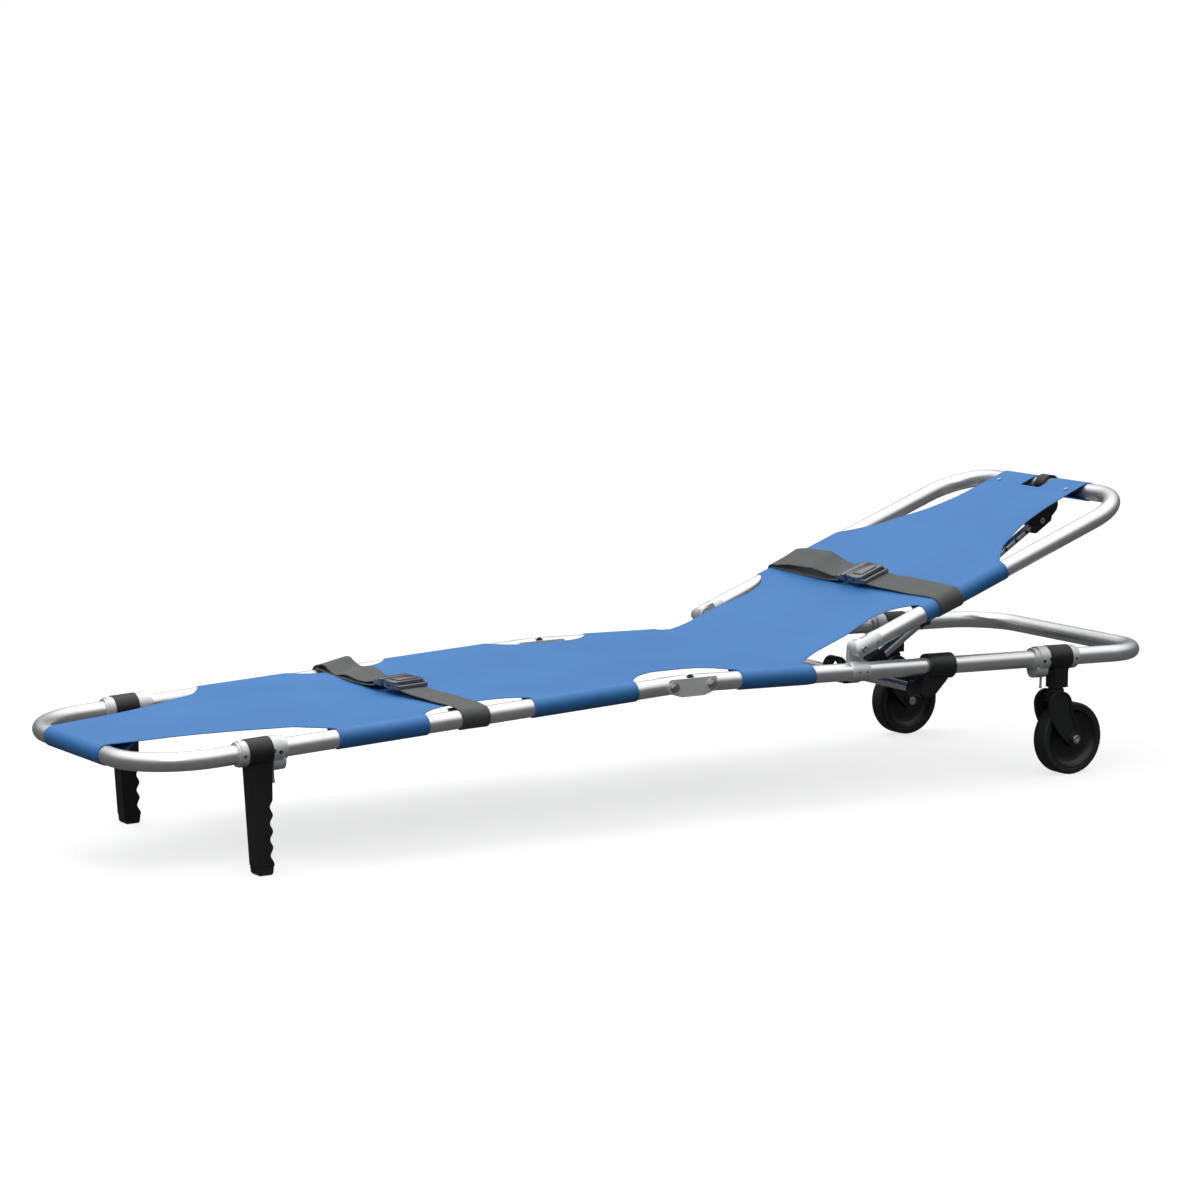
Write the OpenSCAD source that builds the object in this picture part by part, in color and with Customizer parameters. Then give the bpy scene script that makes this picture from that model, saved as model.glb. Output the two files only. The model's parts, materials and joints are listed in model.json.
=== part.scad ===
// Folding stretcher: two U-shaped tube frames joined by a double-pivot fold link,
// a tilting backrest held by a telescopic stay, two fold-away hand-grip legs at the
// foot end and two fold-away swivel casters at the head end.
// +X points to the head end, +Y to the far side, +Z up. The origin is on the floor,
// midway along the length and midway between the rails.

/* [Frame tubes] */
// Outside diameter of the frame tubes
tube_od = 30; // [29.6:0.1:30.2]
// Wall thickness of the frame tubes
tube_wall = 1.8; // [1.4:0.1:2.4]
// Distance from the centre line to each side rail
half_w = 240; // [232:1:248]
// Height of the fold pivots above the floor
hinge_z = 227.5; // [224:0.5:231]
// Distance along the foot frame from its fold pivot to the foot cross tube
foot_len = 938; // [920:0.5:970]
// Distance along the head frame from its fold pivot to the head cross tube
head_len = 946.1; // [930:0.1:970]
// Slope of the foot frame, rising towards the fold
foot_slope = 2.69; // [2.4:0.01:2.9]
// Slope of the head frame, falling away from the fold
head_slope = 1.6; // [1.4:0.05:1.8]
// Centre-line radius of the head frame and backrest corner bends
bend_r = 92; // [84:1:100]
// Centre-line radius of the foot frame corner bends
foot_bend_r = 119; // [100:1:126]

/* [Fold link] */
// Position of the middle of the fold link along the length
link_x = -3.4; // [-4.4:0.1:-2.4]
// Distance between the two fold pivots
hinge_pitch = 73.5; // [73:0.1:76]
// Diameter of the fold bolts
bolt_d = 8; // [7:0.1:8.4]
// Thickness of the fold bracket plates
plate_t = 2.5; // [2:0.1:3]
// Length of each fold bracket
plate_l = 93; // [90:1:98]

/* [Backrest] */
// Position of the backrest pivot along the length
pivot_x = 342.1; // [341:0.1:343.2]
// Height of the backrest pivot
pivot_z = 258; // [257.5:0.1:258.5]
// Backrest angle above the horizontal
back_angle = 20.3; // [20:0.1:20.6]
// Length from the backrest pivot to its cross tube
back_len = 625; // [620:1:630]

/* [Stay] */
// Position of the stay crossbar along the length
bar_x = 472.1; // [471.1:0.1:473.1]
// Height of the stay crossbar
bar_z = 176; // [175:0.5:177]
// Diameter of the stay crossbar
bar_d = 16; // [14:0.5:16]
// Offset of the telescopic tubes below the axis of the cross tube
stay_drop = 40.8; // [40.4:0.1:41.4]
// Angle between the telescopic tubes and the line between crossbar and cross tube
stay_skew = 1.17; // [1.1:0.01:1.25]
// Diameter of the perforated inner stay tube
stay_in_d = 15; // [14:0.1:15.2]
// Diameter of the outer stay tube
stay_out_d = 20; // [19.4:0.1:21]
// Pitch of the holes in the inner stay tube
hole_pitch = 27.5; // [24:0.5:29]
// Diameter of the holes in the inner stay tube
hole_d = 7; // [5:0.5:8]

/* [Legs] */
// Thickness of the hand-grip leg across the stretcher
leg_t = 27; // [24:1:28]
// Depth of the finger grooves
groove_d = 5; // [2:0.5:6]
// Pitch of the finger grooves
groove_pitch = 25.4; // [23:0.1:26]

/* [Casters] */
// Wheel diameter
wheel_d = 127; // [120:1:128]
// Tyre width
wheel_w = 33; // [28:0.5:34]
// Distance from the swivel axis back to the wheel axle
trail = 27.6; // [26:0.2:29]
// Position of the swivel axis along the length
caster_x = 762.1; // [761:0.1:763.2]

/* [Canvas and straps] */
// Thickness of the canvas
cloth_t = 1.5; // [1.2:0.1:1.6]
// Width of the strap webbing
strap_w = 50; // [44:1:50]
// Thickness of the strap webbing
strap_t = 1.8; // [1.4:0.1:2]

/* [Hidden] */
$fn = 64;

run = 0.05;                        // radial clearance of a running fit
slip = 0.03;                       // radial clearance of a fixed fit
tr = tube_od/2;
ti = tr - tube_wall;
hp = hinge_pitch/2;
stub = hp - 5.2;                   // rail length beyond its fold bolt
clip_r = tr + 7;                   // outside radius of the moulded rail clips

// stations along the foot frame, measured from its fold pivot (negative to the foot)
leg_s0 = -771.7;
leg_s1 = -731.4;
leg_lock_s1 = -705.5;
leg_stop_s0 = -787.5;
// stations along the head frame, measured from its fold pivot
cas_s0 = 703.0;
cas_s1 = 751.0;
cas_lock_s0 = 674.0;
cas_stop_s1 = 768.0;
clip_s0 = 447.0;
clip_s1 = 498.0;
clamp_s0 = 288.6;
clamp_s1 = 321.8;

// stay geometry: top pivot, length and angle of the line from crossbar to cross tube
top_x = pivot_x + back_len*cos(back_angle);
top_z = pivot_z + back_len*sin(back_angle);
stay_a = atan2(top_z - bar_z, top_x - bar_x);
stay_l = norm([top_x - bar_x, top_z - bar_z]);
stay_t = stay_a - stay_skew;       // angle of the telescopic tubes

strap_s = -371;                     // centre of the foot strap on the foot frame
chest_s = 190;                     // centre of the chest strap on the backrest

alu = "silver";
cast = "lightgrey";
blk = "#222426";
blu = "#2f6fc0";
web = "#1c1d20";

// ---------- placing ----------
module at_foot() translate([link_x - hp, 0, hinge_z]) rotate([0, -foot_slope, 0]) children();
module at_head() translate([link_x + hp, 0, hinge_z]) rotate([0, head_slope, 0]) children();
module at_back() translate([pivot_x, 0, pivot_z]) rotate([0, -back_angle, 0]) children();
module at_stay() translate([top_x, 0, top_z]) rotate([0, -stay_t, 0]) children();
module both() { for (k = [-1, 1]) scale_side(k) children(); }
module scale_side(k) { if (k < 0) children(); else mirror([0, 1, 0]) children(); }

// ---------- plain shapes ----------
// cylinder along X from a to b
module cx(a, b, r) translate([a, 0, 0]) rotate([0, 90, 0]) cylinder(h = b - a, r = r);
// cylinder along Y from a to b
module cy(a, b, r) translate([0, a, 0]) rotate([-90, 0, 0]) cylinder(h = b - a, r = r);
// ring along X
module ring_x(a, b, r, ri) difference() { cx(a, b, r); cx(a - 1, b + 1, ri); }
// ring along Y
module ring_y(a, b, r, ri) difference() { cy(a, b, r); cy(a - 1, b + 1, ri); }
// flat profile in the XZ plane, extruded along Y from a to b
module slab(a, b) translate([0, b, 0]) rotate([90, 0, 0]) linear_extrude(height = b - a) children();

// U-shaped hollow tube: free ends at e, cross tube at c, lying in the XY plane
module u_tube(e, c, r) {
    d = c > e ? 1 : -1;
    m = c - d*r;
    for (k = [-1, 1]) {
        translate([0, k*half_w, 0]) ring_x(min(e, m), max(e, m), tr, ti);
        translate([m, k*(half_w - r), 0])
            rotate([0, 0, d > 0 ? (k > 0 ? 0 : -90) : (k > 0 ? 90 : 180)])
                rotate_extrude(angle = 90) translate([r, 0])
                    difference() { circle(r = tr); circle(r = ti); }
    }
    translate([c, 0, 0]) ring_y(-(half_w - r), half_w - r, tr, ti);
}

// ---------- head frame ----------
module base_rail() color(alu) at_head() difference() {
    u_tube(-stub + 1.7, head_len, bend_r);
    for (k = [-1, 1]) translate([0, k*half_w, 0]) cy(-25, 25, bolt_d/2 + run);
}

module plug(d) {
    // stem inside the tube and a thin cap against its end; d is the direction out of the tube
    mirror([d < 0 ? 1 : 0, 0, 0]) {
        cx(stub - 17, stub - 1.7, ti - slip);
        cx(stub - 1.7, stub, tr - 0.8);
    }
}
module base_end_plugs() color(blk) at_head()
    for (k = [-1, 1]) translate([0, k*half_w, 0]) plug(-1);

module back_clamps() color(cast) both() {
    ear_r = 14;
    difference() {
        union() {
            at_head() translate([0, -half_w, 0]) cx(clamp_s0, clamp_s1, tr + 2.2);
            // ear on the inboard side, rising to the pivot
            translate([pivot_x, 0, pivot_z]) cy(-half_w + 9, -half_w + 18, ear_r);
            slab(-half_w + 9, -half_w + 18) polygon([
                [pivot_x - ear_r, pivot_z], [pivot_x - 17, pivot_z - 40],
                [pivot_x - 15, pivot_z - 50], [pivot_x + 13, pivot_z - 50],
                [pivot_x + 15, pivot_z - 40], [pivot_x + ear_r, pivot_z]]);
        }
        at_head() translate([0, -half_w, 0]) cx(clamp_s0 - 20, clamp_s1 + 20, tr + slip);
        translate([pivot_x, 0, pivot_z]) cy(-half_w, -half_w + 30, 4 + slip);
        // screw seats on the outboard side
        at_head() for (s = [clamp_s0 + 10, clamp_s1 - 7])
            translate([s, 0, 0]) cy(-half_w - tr - 4, -half_w - tr + 0.5, 2);
    }
}

module back_pivot_pins() color("gainsboro") both()
    translate([pivot_x, 0, pivot_z]) {
        cy(-half_w - 14.5, -half_w + 20.5, 4);
        cy(-half_w + 18.1, -half_w + 20.5, 7);
        difference() { cy(-half_w - 17, -half_w - 14.5, 5.5); cy(-half_w - 18, -half_w - 16.2, 2.5); }
    }

module clamp_screws() color("dimgray") both() at_head()
    for (s = [clamp_s0 + 10, clamp_s1 - 7]) translate([s, 0, 0])
        cy(-half_w - tr - 1.6, -half_w - tr - 0.1, 1.95);

module stay_crossbar() color(alu) translate([bar_x, 0, bar_z])
    ring_y(-half_w + 14, half_w - 14, bar_d/2, bar_d/2 - 1.6);

module crossbar_clips() color(blk) both() difference() {
    union() {
        at_head() translate([0, -half_w, 0]) cx(clip_s0, clip_s1, clip_r);
        translate([bar_x, 0, bar_z]) cy(-half_w - 9, -half_w + 28, 12.5);
        slab(-half_w - 13, -half_w + 16) polygon([
            [bar_x + 6, bar_z + 40], [bar_x + 53, bar_z + 36], [bar_x + 46, bar_z + 16],
            [bar_x + 22, bar_z - 7], [bar_x + 8, bar_z - 12.5], [bar_x, bar_z - 12.5],
            [bar_x - 11, bar_z - 4]]);
    }
    at_head() translate([0, -half_w, 0]) cx(clip_s0 - 20, clip_s1 + 20, tr + slip);
    translate([bar_x, 0, bar_z]) cy(-half_w + 13.9, -half_w + 60, bar_d/2 + slip);
    // moulding joint across the outboard face
    at_head() translate([(clip_s0 + clip_s1)/2, -half_w - clip_r, -1]) cube([70, 1.2, 1.2], center = true);
}

// cast collar on the rail, with the lower lobe that carries the latch pin; from a to b, hub side at b if d is 1
module lock_collar(a, b, d) {
    o = d > 0 ? a : b;             // outer end, away from the hub
    h = d > 0 ? b : a;             // hub end
    difference() {
        union() {
            cx(min(o + d*8.7, h), max(o + d*8.7, h), tr + 6.5);
            cx(min(o, h - d*4), max(o, h - d*4), tr + 4);
            translate([0, 0, -18]) cx(min(o + d*3, h - d), max(o + d*3, h - d), 15);
        }
        cx(a - 1, b + 1, tr + slip);
        // pin bore and the slot for its handle
        translate([0, 0, -18.5]) cx(a - 2, b + 2, 1.9);
        translate([(d > 0 ? b - 13.5 : a + 5.5), -2.5, -40]) cube([13.5 - 5.5, 5, 22.5]);
        for (e = [0, 8]) translate([d > 0 ? b - 5.5 - e : a + 5.5 + e, 0, -40]) cylinder(h = 22.5, r = 2.5);
        // screw seat and witness notch on the outboard side
        translate([o + d*14.5, 0, -2.5]) cy(-tr - 8, -tr - 2.5, 3.2);
        translate([h - d*1.4, -tr - 5.5, 0.5]) cube([3.2, 8, 6], center = true);
    }
}
// plain cast stop collar with a stepped outer end
module stop_collar(a, b, d) difference() {
    union() { cx(a, b, tr + 4); cx(d > 0 ? a : a + 4, d > 0 ? b - 4 : b, tr + 5.5); }
    cx(a - 1, b + 1, tr + slip);
    translate([(a + b)/2, 0, -1.5]) cy(-tr - 8, -tr - 2, 2.6);
}
module collar_screw(s, r, y0, z) translate([s, 0, z]) difference() {
    cy(y0, y0 + 2.4, r);
    translate([0, y0, 0]) rotate([90, 0, 0]) cylinder(h = 3, r = r*0.55, center = true, $fn = 6);
}

module caster_lock_collars() color(cast) both() at_head() translate([0, -half_w, 0])
    lock_collar(cas_lock_s0, cas_s0 - 0.3, 1);
module caster_stop_collars() color(cast) both() at_head() translate([0, -half_w, 0])
    stop_collar(cas_s1 + 0.3, cas_stop_s1, 1);
module base_collar_screws() color("dimgray") both() at_head() translate([0, -half_w, 0]) {
    collar_screw(cas_lock_s0 + 14.5, 3.15, -tr - 5.2, -2.5);
    collar_screw((cas_s1 + 0.3 + cas_stop_s1)/2, 2.55, -tr - 4.6, -1.5);
}

// ---------- canvas ----------
ct = tr + 0.2;                     // underside of the canvas above the rail axis
// half width of an edge that leaves the rail between two stations, deepest in the middle
function scallop(s, a, b, depth) = half_w - depth*(1 - pow(abs(2*(s - a)/(b - a) - 1), 3));
// half width from a narrow end (t = 0) out to the rail (t = 1)
function foot_taper(t) = 100 + 62*pow(t, 1.3) + (half_w - 162)*pow(t, 6);
function head_taper(t) = 118 + 85*pow(t, 2.3) + (half_w - 203)*pow(t, 8);
function mirror_y(p) = [for (i = [len(p) - 1:-1:0]) [p[i][0], -p[i][1]]];
module plan(p) translate([0, 0, ct]) linear_extrude(height = cloth_t) polygon(concat(p, mirror_y(p)));
module sleeve(a, b) both() translate([0, -half_w, 0]) ring_x(a, b, ct + cloth_t, ct);

fe = foot_len;
foot_edge = concat(
    [for (i = [0:14]) [-fe + (fe - 614)*i/14, foot_taper(i/14)]],
    [for (i = [0:12]) let (s = -452 + 190*i/12) [s, scallop(s, -452, -262, 44)]],
    [for (i = [0:6]) let (s = -67 + (hp - 1 + 67)*i/6) [s, scallop(s, -67, 2*hp + 67, 56)]]);
module canvas_foot() color(blu) at_foot() {
    plan(foot_edge);
    sleeve(-600, -452);
    sleeve(-262, -67);
    translate([-fe, 0, 0]) ring_y(-100, 100, ct + cloth_t, ct);
}

mid_edge = concat(
    [for (i = [0:6]) let (s = -hp + 1 + (hp - 1 + 62)*i/6) [s, scallop(s, -2*hp - 62, 62, 56)]],
    [[207, half_w], [210, 224], [220, 210], [236, 200], [260, 194], [286, 190]]);
module canvas_mid() color(blu) at_head() {
    plan(mid_edge);
    sleeve(62, 207);
}

back_edge = concat(
    [[10, 188], [45, 189], [80, 193], [105, 203], [122, 218], [132, half_w]],
    [for (i = [14:-1:0]) [back_len - (back_len - 320)*i/14, head_taper(i/14)]]);
module canvas_back() color(blu) at_back() difference() {
    union() {
        plan(back_edge);
        sleeve(132, 320);
        translate([back_len, 0, 0]) ring_y(-118, 118, ct + cloth_t, ct);
    }
    translate([back_len - 38, -27, -30]) cube([80, 54, 60]);
    // slits that the chest strap passes through
    for (k = [-1, 1]) translate([chest_s, k*(half_w - 7.5), ct + 1]) cube([strap_w + 3, 10, 4], center = true);
}
module canvas_rivets() color("gainsboro") both() at_back()
    translate([back_len - 30, -96, ct + cloth_t + 0.05]) { cylinder(h = 1.2, r = 4); }

// ---------- straps ----------
// webbing: a loop round the rail of inside radius ri, then a run over the canvas to y_end at height top
module strap(s, ri, top, y_end) translate([s, 0, 0]) difference() {
    rotate([90, 0, 90]) translate([0, 0, -strap_w/2]) linear_extrude(height = strap_w) {
        difference() { translate([-half_w, 0]) circle(r = ri + strap_t);
                       translate([-half_w, 0]) circle(r = ri); }
        polygon([[-half_w, ri + 0.02], [-half_w, ri + strap_t - 0.02], [-half_w + 34, top + strap_t], [y_end, top + strap_t],
                 [y_end, top], [-half_w + 34, top]]);
    }
    translate([-strap_w, -half_w, 0]) rotate([0, 90, 0]) cylinder(h = 2*strap_w, r = ri);
}
foot_top = ct + cloth_t + 0.6;
chest_ri = ct + cloth_t + 0.3;
module foot_strap_near() color(web) at_foot() strap(strap_s, tr + 0.3, foot_top, -36);
module foot_strap_far() color(web) at_foot() mirror([0, 1, 0]) strap(strap_s, tr + 0.3, foot_top, -36);
module chest_strap_near() color(web) at_back() strap(chest_s, chest_ri, foot_top, -36);
module chest_strap_far() color(web) at_back() mirror([0, 1, 0]) strap(chest_s, chest_ri, foot_top, -36);

// side-release buckle lying on the straps; the tongue leaves along +Y
bz = foot_top + strap_t + 0.5;
module buckle_receiver() difference() {
    union() {
        translate([-29, -42, bz]) cube([58, 46, 13]);
        translate([-27, -52, bz + 2]) cube([54, 12, 8]);
    }
    // mouth and open sides for the prongs
    translate([-40, -27, bz + 3]) cube([80, 40, 7]);
    // webbing slot
    translate([-25.5, -46.5, bz - 1]) cube([51, 4, 20]);
}
module buckle_ribs() { for (k = [-1, 1]) translate([k*9.5 - 1, -42, bz + 2.9]) cube([2, 42, 7.2]); }
module receiver() { buckle_receiver(); buckle_ribs(); }
module tongue() difference() {
    union() {
        translate([-28, 5.5, bz + 0.5]) cube([56, 12, 12]);
        translate([-27, 17.4, bz + 2]) cube([54, 14, 8]);
        translate([-6, -24, bz + 3.6]) cube([12, 30, 5.8]);
        for (k = [-1, 1]) {
            translate([k*18 - 4, -20, bz + 3.6]) cube([8, 26, 5.8]);
            translate([k*21.5 - 6, -25, bz + 3.6]) cube([12, 13, 5.8]);
        }
    }
    translate([-25.5, 21.5, bz - 1]) cube([51, 5, 20]);
}
module foot_buckle_receiver() color(blk) at_foot() translate([strap_s, 0, 0]) receiver();
module foot_buckle_tongue() color(blk) at_foot() translate([strap_s, 0, 0]) tongue();
module chest_buckle_receiver() color(blk) at_back() translate([chest_s, 0, 0]) receiver();
module chest_buckle_tongue() color(blk) at_back() translate([chest_s, 0, 0]) tongue();

// ---------- fold link ----------
module fold_brackets() color(alu) both() translate([link_x, -half_w, hinge_z]) difference() {
    a = tr + 0.3;
    union() {
        for (k = [-1, 1]) slab(k > 0 ? a : -a - plate_t, k > 0 ? a + plate_t : -a) polygon([
            [-plate_l/2, -8], [-plate_l/2, 10], [-plate_l/2 + 2.5, 12.5], [plate_l/2 - 2.5, 12.5],
            [plate_l/2, 10], [plate_l/2, -8], [plate_l/2 - 8, -12.5], [22, -tr - 2.8], [-22, -tr - 2.8],
            [-plate_l/2 + 8, -12.5]]);
        translate([-22, -a - 0.5, -tr - 2.8]) cube([44, 2*a + 1, 2.4]);
    }
    for (k = [-1, 1]) translate([k*hp, 0, 0]) cy(-30, 30, bolt_d/2 + slip);
}
module fold_bolts() color("gainsboro") both() translate([link_x, -half_w, hinge_z])
    for (k = [-1, 1]) translate([k*hp, 0, 0]) {
        cy(-tr - 3, tr + 11, bolt_d/2);
        cy(-tr - 4.6, -tr - 2.9, 8.6);
        translate([0, -tr - 4.5, 0]) rotate([90, 0, 0]) cylinder(h = 4, r = 7.2, $fn = 6);
        cy(-tr - 9.4, -tr - 8.4, 5.2);
    }
module fold_nuts() color("gainsboro") both() translate([link_x, -half_w, hinge_z])
    for (k = [-1, 1]) translate([k*hp, tr + 2.95, 0]) rotate([-90, 0, 0]) difference() {
        union() { cylinder(h = 1.5, r = 8.2); translate([0, 0, 1.4]) cylinder(h = 6.2, r = 7.4, $fn = 6); }
        translate([0, 0, -1]) cylinder(h = 12, r = bolt_d/2 + slip);
    }

// ---------- foot frame ----------
module foot_rail() color(alu) at_foot() difference() {
    u_tube(stub - 1.7, -foot_len, foot_bend_r);
    for (k = [-1, 1]) translate([0, k*half_w, 0]) cy(-25, 25, bolt_d/2 + run);
}
module foot_end_plugs() color(blk) at_foot()
    for (k = [-1, 1]) translate([0, k*half_w, 0]) plug(1);
module leg_lock_collars() color(cast) both() at_foot() translate([0, -half_w, 0])
    lock_collar(leg_s1 + 0.3, leg_lock_s1, -1);
module leg_stop_collars() color(cast) both() at_foot() translate([0, -half_w, 0])
    stop_collar(leg_stop_s0, leg_s0 - 0.3, -1);
module foot_collar_screws() color("dimgray") both() at_foot() translate([0, -half_w, 0]) {
    collar_screw(leg_lock_s1 - 14.5, 3.15, -tr - 5.2, -2.5);
    collar_screw((leg_stop_s0 + leg_s0 - 0.3)/2, 2.55, -tr - 4.6, -1.5);
}

// ring-sector groove in a hub's end face that the latch pin rides in; opens to +X at s
module latch_groove(s) translate([s, 0, 0]) rotate([0, -90, 0]) rotate([0, 0, 180 - 7])
    translate([0, 0, -1]) rotate_extrude(angle = 104) translate([18.5 - 2, 0]) square([4, 6.4]);

// hand-grip leg: hub on the rail and a grip that tapers to the floor, finger grooves to +X
leg_x1 = link_x - hp + leg_s1*cos(foot_slope) - 0.2;
leg_top = hinge_z + leg_s1*sin(foot_slope);
grip_z0 = 17.3;                    // lower end of the lowest finger groove
grip_n = 4;
function grip_edge() = [for (i = [0:72]) let (z = 158 - 144*i/72, g = (z - grip_z0)/groove_pitch)
    [leg_x1 - (g > 0 && g < grip_n ? groove_d*(1 - cos(360*g))/2 : 0) + (z < 40 ? (40 - z)*0.07 : 0), z]];
module leg(k) scale_side(k) difference() {
    union() {
        at_foot() translate([0, -half_w, 0]) cx(leg_s0, leg_s1, clip_r);
        slab(-half_w - leg_t/2, -half_w + leg_t/2) polygon(concat(
            [[leg_x1 - 38.5, leg_top - 2], [leg_x1, leg_top - 2]], grip_edge(),
            [[leg_x1 - 28, 14], [leg_x1 - 37.5, 165]]));
    }
    at_foot() translate([0, -half_w, 0]) {
        cx(leg_s0 - 20, leg_s1 + 20, tr + run);
        latch_groove(leg_s1);
    }
}
module leg_tip(k) scale_side(k) translate([leg_x1 - 13.2, -half_w, 0]) difference() {
    slab(-leg_t/2 + 0.6, leg_t/2 - 0.6) polygon([[-10, 0], [10, 0], [13, 3], [14.2, 13.95], [-14.2, 13.95], [-13, 3]]);
    translate([-4, -leg_t/2 - 1, 6]) cube([8, 2.2, 3]);
}
module leg_near() color(blk) leg(-1);
module leg_far() color(blk) leg(1);
module leg_tip_near() color("#2c2e30") leg_tip(-1);
module leg_tip_far() color("#2c2e30") leg_tip(1);

// latch pin below the rail with its handle; tip towards d from station s
module latch_pin(s, d) translate([s, 0, -18.5]) mirror([d > 0 ? 0 : 1, 0, 0]) {
    cx(-20, 5, 1.8);
    translate([-5.8, 0, -32.6]) cylinder(h = 32.6, r = 2.1);
    translate([-5.8, 0, -34]) cylinder(h = 5, r = 2.5);
}
module leg_latch_near() color("gainsboro") at_foot() translate([0, -half_w, 0]) latch_pin(leg_s1, -1);
module leg_latch_far() color("gainsboro") at_foot() translate([0, half_w, 0]) latch_pin(leg_s1, -1);
module caster_latch_near() color("gainsboro") at_head() translate([0, -half_w, 0]) latch_pin(cas_s0, 1);
module caster_latch_far() color("gainsboro") at_head() translate([0, half_w, 0]) latch_pin(cas_s0, 1);

// ---------- backrest ----------
kn = 40;                           // length of the cast knuckle
module back_rail() color(alu) at_back() difference() {
    u_tube(kn + 0.1, back_len, bend_r);
    for (k = [-1, 1]) translate([60, k*half_w, 0]) cy(-25, 0, 2);
}
module back_knuckles() color(cast) both() at_back() translate([0, -half_w, 0]) difference() {
    union() {
        intersection() {
            union() { cy(-tr - 0.3, tr, tr + 0.3); cx(0, kn, tr + 0.3); }
            cx(-tr - 2, kn, tr + 0.3);
        }
        cx(kn - 0.1, kn + 26, ti - slip);
    }
    // flat for the clamp ear on the inboard side
    translate([-40, 8.2, -40]) cube([62, 40, 80]);
    cy(-30, 30, 4 + run);
    cy(-tr - 3, -14, 6);
    // slot along the top
    translate([6, -3, tr - 2]) cube([16, 4, 6]);
}
module knuckle_rivets() color("gainsboro") both() at_back() translate([0, -half_w, 0]) {
    translate([30, 0, 0]) difference() { cy(-tr - 1.2, -tr - 0.33, 3); cy(-tr - 2, -tr - 0.9, 1.4); }
}

// ---------- stay ----------
module stay_inner_tube() color(alu) at_stay() translate([0, 0, -stay_drop]) difference() {
    cx(-450, -42, stay_in_d/2);
    cx(-451, -41, stay_in_d/2 - 1.4);
    for (i = [0:6]) translate([-85.4 - hole_pitch*i, 0, 0]) cy(-12, 12, hole_d/2);
    translate([-49.2, 0, 0]) cy(-12, 12, 3 + slip);
}
module stay_head_bracket() color(blk) at_stay() difference() {
    union() {
        cy(-12.5, 12.5, tr + 5.6);
        slab(-12.5, 12.5) polygon([[-14, -8], [-34, -17], [-56, -22], [-70.5, -30], [-73, -46], [-74.6, -51.5],
            [-71, -53.1], [-33, -53], [-27, -47], [-12, -43.5], [-5, -38], [4, -19]]);
    }
    cy(-20, 20, tr + run);
    // socket for the tube end, open towards the crossbar
    translate([0, 0, -stay_drop]) cx(-90, -41.5, stay_in_d/2 + slip);
    translate([-49.2, 0, -stay_drop]) cy(-20, 20, 3 + slip);
}
module stay_rivet() color("gainsboro") at_stay() translate([-49.2, 0, -stay_drop]) difference() {
    union() { cy(-13, 13, 3); cy(-14.1, -12.6, 5.4); cy(12.6, 14.1, 5.4); }
    cy(-15, 15, 1.6);
}

yk = -stay_l*cos(stay_skew);       // station of the crossbar along the stay tubes
yw = -stay_l*sin(stay_skew);       // its height in the same frame
module stay_outer_tube() color(alu) at_stay() translate([0, 0, -stay_drop]) difference() {
    cx(yk + 76, yk + 199.4, stay_out_d/2);
    cx(yk + 60, yk + 280, stay_in_d/2 + 0.08);
    translate([yk + 190.7, 0, 0]) cy(-20, 0, 3 + run);
}
module stay_yoke() color(blk) at_stay() difference() {
    union() {
        for (p = [-0.6, 15.7]) translate([yk - 3.1, 0, yw + p]) cy(-13, 13, 16);
        translate([yk - 19.1, -13, yw - 0.6]) cube([32, 26, 16.3]);
        slab(-13, 13) polygon([[yk - 18.5, yw - 2], [yk - 10, -30], [yk + 14, -46], [yk + 40, -54], [yk + 86, -54],
            [yk + 88.7, -51.5], [yk + 88.7, -30], [yk + 86, -27.5], [yk + 44, -26], [yk + 24, -16], [yk + 12.9, yw + 4]]);
    }
    // slotted eye: the crossbar is free to shift in it as the backrest tilts
    for (p = [-0.6, 15.7]) translate([yk - 3.1, 0, yw + p]) cy(-20, 20, 11.6);
    translate([yk - 14.7, -20, yw - 0.6]) cube([23.2, 40, 16.3]);
    translate([0, 0, -stay_drop]) {
        cx(yk + 75.9, yk + 120, stay_out_d/2 + slip);
        cx(yk + 43, yk + 80, stay_in_d/2 + 0.3);
    }
}
// end collar of the outer tube, with the boss for the latch on the near side
module stay_collar() color(blk) at_stay() translate([0, 0, -stay_drop]) difference() {
    union() {
        cx(yk + 178.7, yk + 202.7, stay_out_d/2 + 2.2);
        translate([yk + 190.7, 0, 0]) cy(-14.4, -6, 6.5);
    }
    cx(yk + 170, yk + 199.5, stay_out_d/2 + slip);
    cx(yk + 190, yk + 210, stay_in_d/2 + 0.1);
    translate([yk + 190.7, 0, 0]) cy(-20, 0, 3 + run);
}
module stay_latch() color(blk) at_stay() translate([yk + 190.7, 0, -stay_drop]) {
    cy(-16, -stay_in_d/2 - 0.3, 3);
    cy(-18.6, -14.5, 7);
}

// ---------- casters ----------
leg_z1 = 152;                      // underside of the caster leg
module caster_leg(k) scale_side(k) difference() {
    union() {
        at_head() translate([0, -half_w, 0]) cx(cas_s0, cas_s1, clip_r);
        translate([caster_x - 11, -half_w - 13.5, leg_z1 + 3]) cube([28, 27, 50]);
        translate([caster_x, -half_w, leg_z1]) cylinder(h = 20, r = 13);
        slab(-half_w - 13.5, -half_w + 13.5) polygon([[caster_x - 19, leg_z1 + 46], [caster_x + 21, leg_z1 + 46],
            [caster_x + 17, leg_z1 + 30], [caster_x - 11, leg_z1 + 30]]);
    }
    at_head() translate([0, -half_w, 0]) {
        cx(cas_s0 - 20, cas_s1 + 20, tr + run);
        translate([cas_s0, 0, 0]) mirror([1, 0, 0]) latch_groove(0);
    }
    translate([caster_x, -half_w, leg_z1 - 2]) cylinder(h = 24, r = 5 + slip);
}
module caster_leg_near() color(blk) caster_leg(-1);
module caster_leg_far() color(blk) caster_leg(1);
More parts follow.
